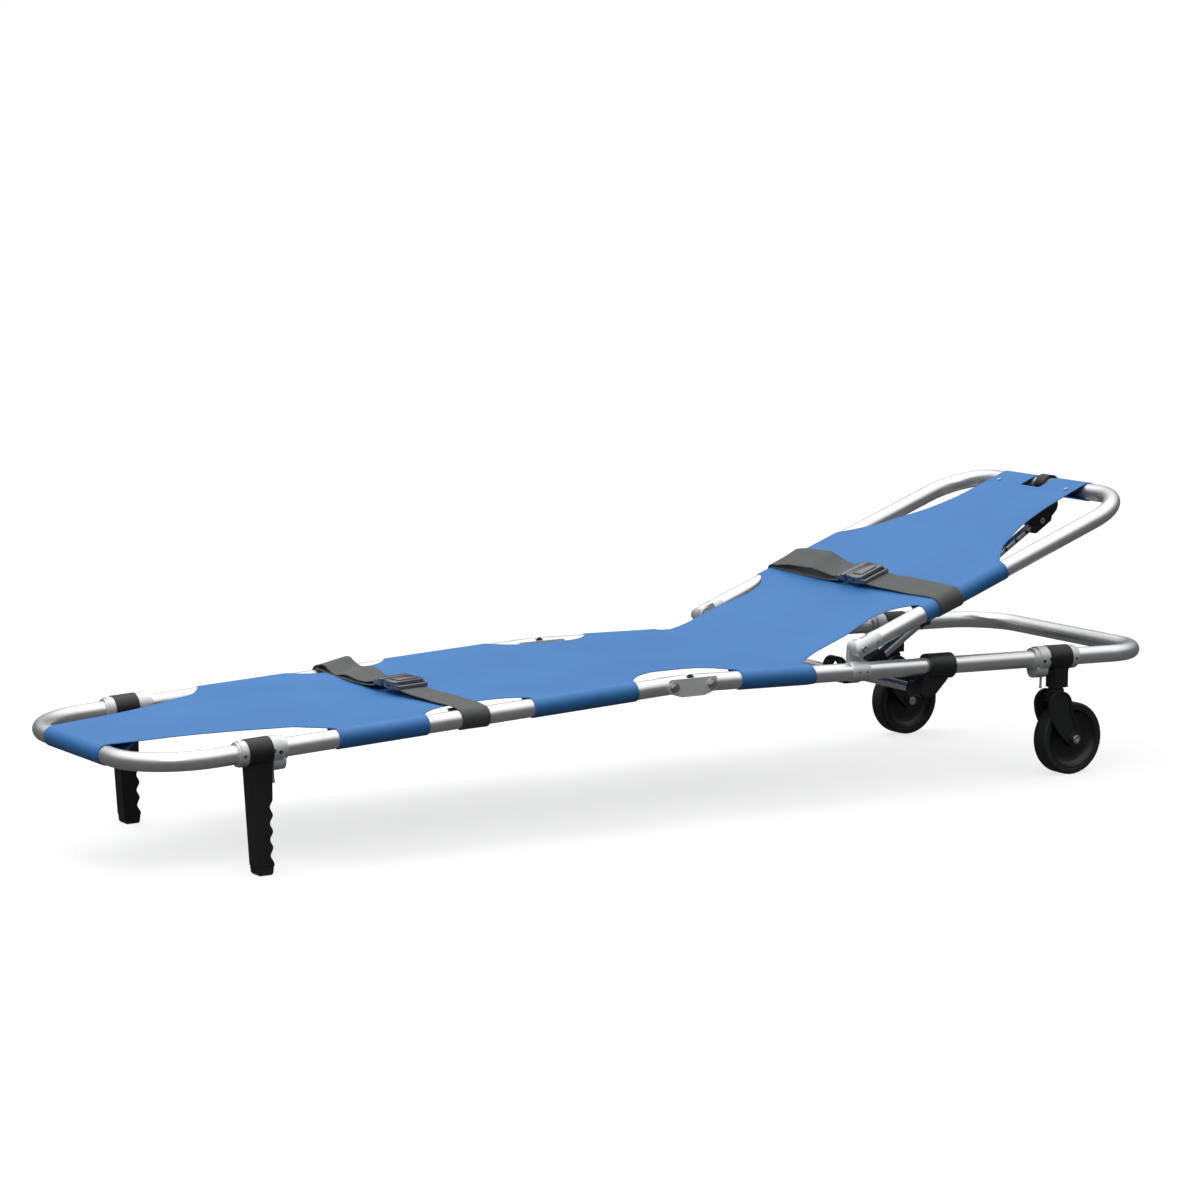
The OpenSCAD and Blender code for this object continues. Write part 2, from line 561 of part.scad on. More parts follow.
module kingpin(k) scale_side(k) translate([caster_x, -half_w, 0]) {
    translate([0, 0, leg_z1 - 21]) cylinder(h = 40, r = 5);
    translate([0, 0, leg_z1 - 23]) cylinder(h = 2.6, r = 8);
}
module kingpin_near() color("gainsboro") kingpin(-1);
module kingpin_far() color("gainsboro") kingpin(1);

wr = wheel_d/2;
arm_a = wheel_w/2 + 1.5;           // inner face of each fork arm
arm_t = 5;
// cubic curve between p and s with control points q and r
function bez(p, q, r, s, n = 10) = [for (i = [0:n]) let (t = i/n)
    pow(1 - t, 3)*p + 3*t*pow(1 - t, 2)*q + 3*t*t*(1 - t)*r + pow(t, 3)*s];
// outline of a fork arm in the XZ plane, inset by d: a dome over the wheel that sweeps down to the axle boss
module arm_shape(d) {
    dome = [-5, 126];
    rd = 24.5 - d;
    rb = 14.5 - d;
    polygon(concat(
        [for (a = [-5:10:185]) dome + rd*[cos(a), sin(a)]],
        bez(dome + rd*[cos(190), sin(190)], [-27 + d, 96], [-9 + d, 75], [trail, wr] + rb*[cos(215), sin(215)]),
        [for (a = [225:15:380]) [trail, wr] + rb*[cos(a), sin(a)]],
        bez([trail, wr] + rb*[cos(30), sin(30)], [32 - d, 90], [21 - d, 102], dome + rd*[cos(-8), sin(-8)])));
}
module fork(k) translate([caster_x, k*half_w, 0]) difference() {
    union() {
        translate([0, 0, leg_z1 - 22]) cylinder(h = 21.7, r = 15);
        translate([-16, -arm_a - 1, leg_z1 - 22]) cube([30, 2*arm_a + 2, 14]);
        for (m = [-1, 1]) {
            slab(m > 0 ? arm_a : -arm_a - arm_t + 1.7, m > 0 ? arm_a + arm_t - 1.7 : -arm_a) arm_shape(0);
            // raised border round the recessed middle
            slab(m > 0 ? arm_a + arm_t - 1.8 : -arm_a - arm_t, m > 0 ? arm_a + arm_t : -arm_a - arm_t + 1.8)
                difference() { arm_shape(0); difference() { arm_shape(3.2); translate([trail, wr]) circle(r = 14); } }
            translate([trail, 0, wr]) cy(m > 0 ? arm_a + 1 : -arm_a - arm_t - 1.2, m > 0 ? arm_a + arm_t + 1.2 : -arm_a - 1, 11);
        }
    }
    translate([0, 0, leg_z1 - 24]) cylinder(h = 28, r = 5 + run);
    translate([0, 0, leg_z1 - 24]) cylinder(h = 4, r = 8.4);
    translate([trail, 0, wr]) cy(-30, 30, 4 + slip);
}
module fork_near() color(blk) fork(-1);
module fork_far() color(blk) fork(1);

module at_axle(k) translate([caster_x + trail, k*half_w, wr]) children();
hub_w = wheel_w/2 + 0.9;           // half length of the wheel hub
module wheel(k) at_axle(k) rotate([90, 0, 0]) rotate_extrude($fn = 96) polygon([
    [4 + run, -hub_w], [11.5, -hub_w], [13, -hub_w + 1.5], [16, -6.5], [22, -5], [36, -5], [42, -6.6], [46, -9.4], [49, -13],
    [50.6, -wheel_w/2 + 0.6], [wr - 11.05, -wheel_w/2 + 0.8], [wr - 11.05, wheel_w/2 - 0.8], [50.6, wheel_w/2 - 0.6],
    [49, 13], [46, 9.4], [42, 6.6], [36, 5], [22, 5], [16, 6.5], [13, hub_w - 1.5], [11.5, hub_w], [4 + run, hub_w]]);
module tyre(k) at_axle(k) rotate([90, 0, 0]) rotate_extrude($fn = 96) polygon(concat(
    [[wr - 11, -wheel_w/2 + 1], [wr - 9, -wheel_w/2 + 0.3]],
    [for (a = [-90:15:0]) [wr - 4.5 + 4.5*cos(a), -wheel_w/2 + 4.5 + 4.5*sin(a)]],
    [for (a = [0:15:90]) [wr - 4.5 + 4.5*cos(a), wheel_w/2 - 4.5 + 4.5*sin(a)]],
    [[wr - 9, wheel_w/2 - 0.3], [wr - 11, wheel_w/2 - 1]]));
module axle(k) at_axle(k) {
    b = arm_a + arm_t + 1.25;      // outer face of the fork bosses
    cy(-b - 1, b + 1, 4);
    difference() {
        union() { cy(-b - 2.6, -b, 7.4); cy(-b - 3.6, -b - 2.5, 6); }
        translate([0, -b - 3, 0]) rotate([90, 0, 0]) cylinder(h = 4, r = 3, center = true, $fn = 6);
    }
    translate([0, b, 0]) rotate([-90, 0, 0]) cylinder(h = 4.2, r = 6.8, $fn = 6);
}
module wheel_near() color(blk) wheel(-1);
module wheel_far() color(blk) wheel(1);
module tyre_near() color("#303234") tyre(-1);
module tyre_far() color("#303234") tyre(1);
module axle_near() color("gainsboro") axle(-1);
module axle_far() color("gainsboro") axle(1);

base_rail();
base_end_plugs();
back_clamps();
back_pivot_pins();
clamp_screws();
stay_crossbar();
crossbar_clips();
caster_lock_collars();
caster_stop_collars();
base_collar_screws();
canvas_mid();
fold_brackets();
fold_bolts();
fold_nuts();
foot_rail();
foot_end_plugs();
leg_lock_collars();
leg_stop_collars();
foot_collar_screws();
canvas_foot();
foot_strap_near();
foot_strap_far();
foot_buckle_receiver();
foot_buckle_tongue();
back_rail();
back_knuckles();
knuckle_rivets();
canvas_back();
canvas_rivets();
chest_strap_near();
chest_strap_far();
chest_buckle_receiver();
chest_buckle_tongue();
stay_inner_tube();
stay_head_bracket();
stay_rivet();
stay_outer_tube();
stay_yoke();
stay_collar();
stay_latch();
leg_near();
leg_far();
leg_tip_near();
leg_tip_far();
leg_latch_near();
leg_latch_far();
caster_latch_near();
caster_latch_far();
caster_leg_near();
caster_leg_far();
kingpin_near();
kingpin_far();
fork_near();
fork_far();
wheel_near();
wheel_far();
tyre_near();
tyre_far();
axle_near();
axle_far();
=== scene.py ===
import bpy
import json
import math
import numpy as np
from mathutils import Matrix, Vector, noise


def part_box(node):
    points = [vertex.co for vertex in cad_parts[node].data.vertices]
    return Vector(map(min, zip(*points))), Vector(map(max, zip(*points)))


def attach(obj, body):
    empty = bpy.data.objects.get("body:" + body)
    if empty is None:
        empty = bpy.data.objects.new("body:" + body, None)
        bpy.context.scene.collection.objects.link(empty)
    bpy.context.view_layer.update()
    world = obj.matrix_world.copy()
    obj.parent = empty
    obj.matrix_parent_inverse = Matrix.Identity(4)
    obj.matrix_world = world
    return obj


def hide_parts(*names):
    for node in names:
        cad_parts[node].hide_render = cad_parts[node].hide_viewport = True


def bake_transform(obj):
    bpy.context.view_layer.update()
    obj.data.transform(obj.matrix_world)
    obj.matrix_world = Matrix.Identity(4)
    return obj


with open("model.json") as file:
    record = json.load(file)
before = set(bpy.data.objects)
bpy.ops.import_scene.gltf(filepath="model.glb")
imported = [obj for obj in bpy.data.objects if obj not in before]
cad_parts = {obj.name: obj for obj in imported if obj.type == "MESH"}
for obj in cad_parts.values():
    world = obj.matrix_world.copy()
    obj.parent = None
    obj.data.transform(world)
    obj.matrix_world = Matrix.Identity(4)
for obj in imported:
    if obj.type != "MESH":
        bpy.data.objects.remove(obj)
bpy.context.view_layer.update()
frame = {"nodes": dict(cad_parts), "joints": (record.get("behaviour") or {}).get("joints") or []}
NODES = frame["nodes"]
J = {j["name"]: j for j in frame["joints"]}


# ---------------------------------------------------------------- frames (millimetres)
def unit(v):
    v = np.array(v, float)
    return v / np.linalg.norm(v)


def jp(name):
    return np.array(J[name]["pos_m"], float) * 1000


class Fr:
    """Station s along e, height w along n, y across."""

    def __init__(self, o, e):
        self.o = np.array(o, float)
        self.e = unit(e)
        self.n = np.array([-self.e[2], 0.0, self.e[0]])

    def at(self, s, y, w):
        return self.o + s * self.e + w * self.n + np.array([0.0, y, 0.0])


foot = Fr(jp("foot_fold"), J["leg_near_fold"]["axis"])
head = Fr(jp("link_fold"), np.array(J["caster_near_fold"]["axis"]))
back = Fr(jp("backrest_tilt"), jp("stay_swing") - jp("backrest_tilt"))
HALF = 240.0
W0 = 16.7          # top surface of the canvas above a rail axis
BACK_LEN = float(np.linalg.norm(jp("stay_swing") - jp("backrest_tilt")))
lo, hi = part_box("foot_buckle_receiver")
STRAP_S = float(((np.array(lo) + np.array(hi)) / 2 * 1000 - foot.o) @ foot.e)
lo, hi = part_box("chest_buckle_receiver")
CHEST_S = float(((np.array(lo) + np.array(hi)) / 2 * 1000 - back.o) @ back.e)
FOOT_LEN = 938.0


def line_x(p, a, q, b):
    """Where lines p + t a and q + u b meet in the XZ plane."""
    m = np.array([[a[0], -b[0]], [a[2], -b[2]]])
    t, u = np.linalg.solve(m, np.array([q[0] - p[0], q[2] - p[2]]))
    return p + t * a


link_e = unit(head.o - foot.o)
link_n = np.array([-link_e[2], 0.0, link_e[0]])
pf, pl, ph, pb = foot.o + W0 * foot.n, foot.o + W0 * link_n, head.o + W0 * head.n, back.o + W0 * back.n
V1 = line_x(pf, foot.e, pl, link_e)
V2 = line_x(pl, link_e, ph, head.e)
V3 = line_x(ph, head.e, pb, back.e)
D1 = float(np.linalg.norm(V2 - V1))
D2 = float(np.linalg.norm(V3 - V2))
S1 = float((V1 - foot.o) @ foot.e)
S2 = float((V2 - head.o) @ head.e)
S3 = float((V3 - back.o) @ back.e)


def xf(s):
    return s - S1


def xh(s):
    return D1 + s - S2


def xb(s):
    return D1 + D2 + s - S3


def path(X, y):
    """Point on the canvas plane at developed length X, and its normal."""
    L3 = 5.0 + 32.0 * (1 - min(1.0, abs(y) / HALF) ** 3)
    for XV, V, a, b, L in ((0.0, V1, foot.e, link_e, 14.0), (D1, V2, link_e, head.e, 14.0), (D1 + D2, V3, head.e, back.e, L3)):
        if abs(X - XV) < L:
            u = (X - (XV - L)) / (2 * L)
            p = (1 - u) ** 2 * (V - a * L) + 2 * u * (1 - u) * V + u * u * (V + b * L)
            t = unit((1 - u) * a + u * b)
            return p, np.array([-t[2], 0.0, t[0]])
    if X < 0:
        return V1 + X * foot.e, foot.n
    if X < D1:
        return V1 + X * link_e, link_n
    if X < D1 + D2:
        return V2 + (X - D1) * head.e, head.n
    return V3 + (X - D1 - D2) * back.e, back.n


def smooth(a, b, x):
    t = min(1.0, max(0.0, (x - a) / (b - a)))
    return t * t * (3 - 2 * t)


def pchip(pts):
    x = np.array([p[0] for p in pts], float)
    y = np.array([p[1] for p in pts], float)
    h = np.diff(x)
    d = np.diff(y) / h
    m = np.zeros(len(x))
    for i in range(1, len(x) - 1):
        if d[i - 1] * d[i] > 0:
            w1, w2 = 2 * h[i] + h[i - 1], h[i] + 2 * h[i - 1]
            m[i] = (w1 + w2) / (w1 / d[i - 1] + w2 / d[i])
    m[0], m[-1] = d[0], d[-1]

    def f(v):
        i = int(np.clip(np.searchsorted(x, v) - 1, 0, len(x) - 2))
        t = (v - x[i]) / h[i]
        t = min(1.0, max(0.0, t))
        return float((2 * t**3 - 3 * t * t + 1) * y[i] + (t**3 - 2 * t * t + t) * h[i] * m[i]
                     + (-2 * t**3 + 3 * t * t) * y[i + 1] + (t**3 - t * t) * h[i] * m[i + 1])
    return f


foot_out = pchip([(-940, 100), (-885, 110), (-827, 119), (-749, 141), (-686, 168), (-657, 179), (-632, 212), (-614, 240)])
back_out = pchip([(-108, 240), (-104, 226), (-94, 212), (-78, 203), (-54, 198), (2, 198), (41, 190), (70, 186),
                  (100, 193), (115, 204), (126, 218), (134, 230), (138, 240)])
top_out = pchip([(320, 240), (352, 205), (373, 185), (400, 169), (461, 138), (539, 121), (592, 119), (660, 118)])


def scallop(s, a, b, depth):
    return HALF - depth * (1 - abs(2 * (s - a) / (b - a) - 1) ** 3)


def spaced(a, b, n):
    """Stations from a to b, closer together at both ends."""
    return [a + (b - a) * (0.5 - 0.5 * math.cos(math.pi * i / n)) for i in range(n + 1)]


def even(a, b, n):
    return [a + (b - a) * i / n for i in range(n + 1)]


SAG = pchip([(xf(-938), 0), (xf(-860), 0.5), (xf(-690), 0.6), (xf(-630), 2.5), (xf(-540), 6), (xf(-380), 7), (xf(-160), 6.5), (0, 6.5), (xh(120), 7),
             (xh(207), 7.5), (xb(0), 7), (xb(130), 5.5), (xb(300), 5), (xb(480), 4), (xb(590), 1), (xb(625), 0), (xb(700), 0)])


def sheet_point(X, y, d):
    """Top surface of the canvas; d is the distance to the nearest free edge."""
    p, n = path(X, y)
    k = (1 - min(1.0, (y / HALF) ** 2)) ** 1.5
    w = -SAG(X) * k
    fade = smooth(0, 40, HALF - abs(y)) * (1 - smooth(xb(560), xb(600), X)) * smooth(xf(-925), xf(-880), X)
    fade *= 0.12 + 0.88 * smooth(xf(-690), xf(-610), X)      # the folded legs lie just below this part
    w += fade * (1.5 * noise.noise(Vector((X / 170.0, y / 120.0, 3.1))) + 0.5 * noise.noise(Vector((X / 55.0, y / 45.0, 9.7))))
    # soft pulls that run from the slot corners down the backrest
    for sy in (-1, 1):
        a = X - xb(588)
        if a < 0:
            r = (y - sy * (27 - 0.30 * a)) / (7 + 0.05 * abs(a))
            w -= 0.9 * math.exp(-r * r) * math.exp(a / 90.0) * smooth(0, 6, -a)
    if d < 9:
        w += 0.45 * (1 - smooth(7.0, 8.5, d))
    return p + w * n + np.array([0.0, y, 0.0])


NC = 60
VS = [math.sin(math.pi / 2 * (2 * i / NC - 1)) for i in range(NC + 1)]
K0 = min(range(NC + 1), key=lambda i: abs(VS[i] - 27 / 119))


class Mesh:
    def __init__(self):
        self.v, self.f, self.edge, self.run = [], [], [], []

    def add(self, p, d, r):
        self.v.append(tuple(np.array(p) / 1000))
        self.edge.append(d / 1000)
        self.run.append(r / 1000)
        return len(self.v) - 1

    def make(self, name):
        me = bpy.data.meshes.new(name)
        me.from_pydata(self.v, [], self.f)
        for nm, data in (("edge", self.edge), ("run", self.run)):
            a = me.attributes.new(nm, "FLOAT", "POINT")
            a.data.foreach_set("value", np.array(data, np.float32))
        me.validate()
        me.update()
        ob = bpy.data.objects.new(name, me)
        bpy.context.scene.collection.objects.link(ob)
        for p in me.polygons:
            p.use_smooth = True
        return ob


def apply_mods(ob):
    dg = bpy.context.evaluated_depsgraph_get()
    dg.update()
    me = bpy.data.meshes.new_from_object(ob.evaluated_get(dg))
    old = ob.data
    ob.modifiers.clear()
    ob.data = me
    return ob


def build_sheet(name, rows, wrap_end=None):
    """rows: (X, half width, sleeve id or None, distance to sleeve end). wrap_end: (+1/-1, frame, station, half, slot)."""
    m = Mesh()
    main, wraps = [], []
    slot_from = xb(588)
    for X, hw, sl, dse in rows:
        w8 = smooth(xb(470), xb(585), X)
        line = []
        for i, v in enumerate(VS):
            if w8 > 0:
                a, t = abs(v), 27 / hw
                vk = abs(VS[K0])
                r = (a / vk * t) if a <= vk else t + (a - vk) / (1 - vk) * (1 - t)
                v = math.copysign(a * (1 - w8) + r * w8, v)
            y = hw * v
            d = 1e3
            if sl is None:
                d = hw - abs(y)
            if X >= slot_from - 12:
                ds = max(abs(y) - 27, slot_from - X)
                if ds >= -0.01:
                    d = min(d, abs(ds))
            line.append(m.add(sheet_point(X, y, max(0.0, d)), max(0.0, d), X))
        main.append(line)
        sides = []
        if sl is not None:
            for sg in (-1, 1):
                col = [line[0] if sg < 0 else line[-1]]
                for k in range(1, 19):
                    ang = math.radians(90 - 180 * k / 18)
                    p, n = path(X, HALF)
                    q = p + n * (W0 * math.sin(ang) - W0) + np.array([0.0, sg * (HALF + W0 * math.cos(ang)), 0.0])
                    col.append(m.add(q, min(dse, 60), X))
                for k in range(1, 7):
                    t = k / 6
                    p, n = path(X, HALF - 30 * t)
                    q = p + n * ((-2 * W0) * (1 - t) + (-3.0 - 0.3) * t) + np.array([0.0, sg * (HALF - 30 * t), 0.0])
                    col.append(m.add(q, min(dse, 30 * (1 - t)), X))
                sides.append(col)
        wraps.append((sl, sides))
    slot_cols = [i for i in range(NC) if abs((VS[i] + VS[i + 1]) / 2) < abs(VS[K0])]
    for r in range(len(rows) - 1):
        A, B = main[r], main[r + 1]
        in_slot = (rows[r][0] + rows[r + 1][0]) / 2 > slot_from
        for i in range(NC):
            if in_slot and i in slot_cols:
                continue
            m.f.append((A[i], B[i], B[i + 1], A[i + 1]))
        (s1, w1), (s2, w2) = wraps[r], wraps[r + 1]
        if s1 is not None and s1 == s2:
            for sg in (0, 1):
                for k in range(len(w1[sg]) - 1):
                    a, b, c, d = w1[sg][k], w1[sg][k + 1], w2[sg][k + 1], w2[sg][k]
                    m.f.append((a, b, c, d) if sg == 0 else (a, d, c, b))
    if wrap_end:
        sg, fr, st, half, slot = wrap_end
        prev = main[0] if sg < 0 else main[-1]
        ys = [m.v[i][1] * 1000 for i in prev]
        lines = []
        for k in range(1, 25):
            ang = math.radians(90 - 205 * k / 24)
            lines.append((st + sg * W0 * math.cos(ang), W0 * math.sin(ang)))
        a, b = lines[-1], (st - sg * 50.0, 12.6)
        for k in range(1, 7):
            t = k / 6
            lines.append((a[0] + (b[0] - a[0]) * t, a[1] + (b[1] - a[1]) * t))
        for q, (s, w) in enumerate(lines):
            cur = []
            for i, y in enumerate(ys):
                d = half - abs(y)
                if slot and abs(y) >= 26.9:
                    d = min(d, abs(y) - 27)
                run = (xf(s) if sg < 0 else xb(s))
                cur.append(m.add(fr.at(s, y, w), max(0.0, d), run))
            for i in range(NC):
                if slot and i in slot_cols:
                    continue
                f = (prev[i], cur[i], cur[i + 1], prev[i + 1])
                m.f.append(f if sg > 0 else f[::-1])
            prev = cur
    ob = m.make(name)
    import bmesh
    bm = bmesh.new()
    bm.from_mesh(ob.data)
    bmesh.ops.delete(bm, geom=[v for v in bm.verts if not v.link_faces], context="VERTS")
    bm.to_mesh(ob.data)
    bm.free()
    sd = ob.modifiers.new("thick", "SOLIDIFY")
    sd.thickness = 0.0012
    sd.offset = -1
    apply_mods(ob)
    ob.data.set_sharp_from_angle(angle=math.radians(45))
    return ob


def sleeve_rows(fn, a, b, n, tag):
    return [(fn(s), HALF, tag, min(s - a, b - s)) for s in even(a, b, n)]


rows_a = [(xf(s), foot_out(s), None, 0) for s in even(-938, -640, 40)[:-1] + spaced(-640, -614, 14)[:-1]]
rows_a += sleeve_rows(xf, -613.9, -455, 16, "a1")
rows_a += [(xf(s), scallop(s, -455, -262, 44), None, 0) for s in spaced(-455, -262, 40)[1:-1]]
rows_a += sleeve_rows(xf, -262, -67, 20, "a2")
NW = xh(62) - xf(-67)
XM = xf(-3.4 + 40.15)
mid_rows = [(X, scallop(X, xf(-67), xh(62), 56), None, 0) for X in spaced(xf(-67), xh(62), 48)[1:-1]]
XM = min((r[0] for r in mid_rows), key=lambda v: abs(v - XM))
rows_a += [r for r in mid_rows if r[0] <= XM]
rows_b = [r for r in mid_rows if r[0] >= XM]
XC = xh(166)
rows_b += sleeve_rows(xh, 62, 166, 12, "b1")
rows_b = [(X, h, s, (min(d, X - xh(62)) if s is None else X - xh(62))) for X, h, s, d in rows_b]
rows_c = [(xh(s), HALF, "b1", 207 - s) for s in even(166, 207, 6)]
rows_c += [(xb(s), back_out(s), None, 0) for s in spaced(-102.6, 138, 70)[1:-1] if xb(s) > xh(207) + 0.2]
rows_c += sleeve_rows(xb, 138, 320, 20, "c1")
rows_c += [(xb(s), top_out(s), None, 0) for s in spaced(320, 420, 30)[1:-1] + even(420, 588, 22) + even(588, BACK_LEN, 5)[1:]]

sheet_a = build_sheet("canvas_sheet_foot", rows_a, (-1, foot, -938.0, 100.0, False))
sheet_b = build_sheet("canvas_sheet_middle", rows_b)
sheet_c = build_sheet("canvas_sheet_back", rows_c, (1, back, BACK_LEN, 118.0, True))


# ---------------------------------------------------------------- webbing
def catmull(pts, n):
    P = [np.array(p, float) for p in pts]
    P = [2 * P[0] - P[1]] + P + [2 * P[-1] - P[-2]]
    out = []
    for i in range(1, len(P) - 2):
        for k in range(n):
            t = k / n
            a, b, c, d = P[i - 1], P[i], P[i + 1], P[i + 2]
            out.append(0.5 * (2 * b + (c - a) * t + (2 * a - 5 * b + 4 * c - d) * t * t + (3 * b - a - 3 * c + d) * t**3))
    out.append(P[-2])
    return out


def strap(name, fr, s0, prof, width=50.0, thick=1.7, skew=None):
    """prof: points (y, w) along the webbing. skew(y) shifts the station and tilts the strap: (ds, dw at the head-side edge)."""
    pts = catmull(prof, 8)
    m = Mesh()
    nw = 10
    lines = []
    run = 0.0
    for i, p in enumerate(pts):
        if i:
            run += float(np.linalg.norm(pts[i] - pts[i - 1]))
        a = pts[max(0, i - 1)]
        b = pts[min(len(pts) - 1, i + 1)]
        t = (b - a) / np.linalg.norm(b - a)
        ds, dw = skew(p[0], p[1]) if skew else (0.0, 0.0)
        line = []
        for k in range(nw + 1):
            q = -width / 2 + width * k / nw
            rel = 2 * q / width
            line.append(m.add(fr.at(s0 + ds + q, p[0], p[1] + dw * rel - 0.25 * rel * rel), width / 2 - abs(q), run))
        lines.append(line)
    for A, B in zip(lines, lines[1:]):
        for k in range(nw):
            m.f.append((A[k], A[k + 1], B[k + 1], B[k]))
    ob = m.make(name)
    sd = ob.modifiers.new("thick", "SOLIDIFY")
    sd.thickness = thick / 1000
    sd.offset = 0
    bv = ob.modifiers.new("round", "BEVEL")
    bv.width = 0.0005
    bv.segments = 2
    bv.limit_method = "ANGLE"
    apply_mods(ob)
    for p in ob.data.polygons:
        p.use_smooth = True
    return ob


def around(r, sg, a0=90, a1=-90, n=12):
    """Points round the rail, from angle a0 to a1 (90 is the top), on side sg."""
    return [(sg * (HALF + r * math.cos(math.radians(a0 + (a1 - a0) * k / n))), r * math.sin(math.radians(a0 + (a1 - a0) * k / n)))
            for k in range(n + 1)]


def near_strap(name, fr, s0, r, under):
    prof = [(-28, 21.5), (-45, 21.2), (-60, 19.8), (-90, 18.2), (-130, 18.6), (-175, 18.3), (-215, 18.6)]
    prof += around(r, -1)[0:]
    prof += under(-1)
    return strap(name, fr, s0, prof, skew=lambda y, w: (0.6 * math.sin(y / 23.0), 0.5 * math.sin(y / 31.0)))


def under_foot(sg):
    return [(sg * 226, -10), (sg * 216, 4), (sg * 207, 13.0)]


def under_chest(sg):
    return [(sg * 228, -13.5), (sg * 216, -3), (sg * 208, 6.0)]


foot_near = near_strap("foot_webbing_near", foot, STRAP_S, 16.3, under_foot)
chest_near = near_strap("chest_webbing_near", back, CHEST_S, 17.9, under_chest)

foot_far = strap("foot_webbing_far", foot, STRAP_S,
                 [(25, 22), (42, 23), (62, 19.5), (88, 20), (112, 23.5), (138, 24.5), (156, 21.5), (172, 20), (190, 24.5),
                  (206, 30.5), (222, 30), (240, 23.5), (252, 15.5)] + around(16.5, 1, 40, -90, 9) + under_foot(1),
                 skew=lambda y, w: (0.8 * math.sin(y / 19.0), 4.0 * smooth(60, 120, y) * (1 - smooth(225, 248, y))))
foot_low = strap("foot_webbing_far_lower", foot, STRAP_S - 2,
                 [(27, 19.2), (60, 15.0), (100, 13.6), (150, 14.2), (195, 15.8), (225, 16.9), (238, 18.6)])
chest_far = strap("chest_webbing_far", back, CHEST_S,
                  [(25, 22), (40, 23.5), (58, 25), (80, 31), (104, 37), (125, 36), (150, 35), (178, 34), (205, 31),
                   (228, 26.5), (246, 19.5)] + around(18.2, 1, 42, -90, 9) + under_chest(1),
                  skew=lambda y, w: (0.8 * math.sin(y / 21.0), 5.0 * smooth(60, 110, y) * (1 - smooth(215, 245, y))))
chest_low = strap("chest_webbing_far_lower", back, CHEST_S - 2,
                  [(27, 19.2), (60, 15.2), (100, 14.2), (150, 14.8), (195, 16.8), (225, 18.2), (238, 19.6)])


# ---------------------------------------------------------------- buckles
def plate(name, outline, z0, z1, crown=0.0, bevel=1.2, holes=()):
    """Rounded moulding: a closed outline in (s, y), between z0 and z1, crowned across s; holes are cut through."""
    import bmesh
    bm = bmesh.new()
    vs = [bm.verts.new((x, y, z0)) for x, y in outline]
    f = bm.faces.new(vs)
    r = bmesh.ops.extrude_face_region(bm, geom=[f])
    for v in [g for g in r["geom"] if isinstance(g, bmesh.types.BMVert)]:
        v.co.z = z1
    bmesh.ops.recalc_face_normals(bm, faces=bm.faces)
    me = bpy.data.meshes.new(name)
    bm.to_mesh(me)
    bm.free()
    ob = bpy.data.objects.new(name, me)
    bpy.context.scene.collection.objects.link(ob)
    for (hx0, hx1, hy0, hy1, hz0, hz1) in holes:
        cm = bpy.data.meshes.new("cut")
        c = [(x, y, z) for x in (hx0, hx1) for y in (hy0, hy1) for z in (hz0, hz1)]
        cm.from_pydata(c, [], [(0, 1, 3, 2), (4, 6, 7, 5), (0, 4, 5, 1), (2, 3, 7, 6), (0, 2, 6, 4), (1, 5, 7, 3)])
        co = bpy.data.objects.new("cut", cm)
        bpy.context.scene.collection.objects.link(co)
        bo = ob.modifiers.new("b", "BOOLEAN")
        bo.operation = "DIFFERENCE"
        bo.object = co
        bo.solver = "EXACT"
        apply_mods(ob)
        bpy.data.objects.remove(co)
    bv = ob.modifiers.new("bev", "BEVEL")
    bv.width = bevel
    bv.segments = 3
    bv.limit_method = "ANGLE"
    bv.angle_limit = math.radians(40)
    apply_mods(ob)
    for v in ob.data.vertices:
        t = (v.co.z - z0) / (z1 - z0)
        v.co.z += t * crown * (1 - (v.co.x / 29.0) ** 2)
    for p in ob.data.polygons:
        p.use_smooth = True
    return ob


def merge(name, obs, fr, s0):
    import bmesh
    bm = bmesh.new()
    for o in obs:
        bm.from_mesh(o.data)
        bpy.data.objects.remove(o)
    for v in bm.verts:
        v.co = Vector(fr.at(s0 + v.co.x, v.co.y, v.co.z) / 1000)
    bmesh.ops.recalc_face_normals(bm, faces=bm.faces)
    me = bpy.data.meshes.new(name)
    bm.to_mesh(me)
    bm.free()
    ob = bpy.data.objects.new(name, me)
    bpy.context.scene.collection.objects.link(ob)
    for p in me.polygons:
        p.use_smooth = True
    try:
        me.set_sharp_from_angle(angle=math.radians(50))
    except Exception:
        pass
    return ob


def receiver(name, fr, s0):
    z = 19.6
    out = []
    for x, y in ((-25, -42), (-29, -36), (-29, -18), (-27, -10), (-27, -2), (-24, 4), (-15, 4), (-9, 1), (9, 1), (15, 4), (24, 4),
                 (27, -2), (27, -10), (29, -18), (29, -36), (25, -42)):
        out.append((x, y))
    body = plate("r1", out, z, z + 12.5, 1.6, 1.4, [(-40, 40, -27, -9, z + 3.2, z + 9.6)])
    bar = plate("r2", [(-27, -54), (27, -54), (27, -47.5), (-27, -47.5)], z + 1, z + 8, 0.6, 1.6)
    e1 = plate("r3", [(-28, -52), (-24.5, -52), (-24.5, -38), (-28, -38)], z + 1, z + 9, 0, 1.2)
    e2 = plate("r4", [(24.5, -52), (28, -52), (28, -38), (24.5, -38)], z + 1, z + 9, 0, 1.2)
    panel = plate("r5", [(-17, -35), (17, -35), (20, -12), (14, -6), (-14, -6), (-20, -12)], z + 12, z + 14.2, 1.2, 0.9)
    return merge(name, [body, bar, e1, e2, panel], fr, s0)


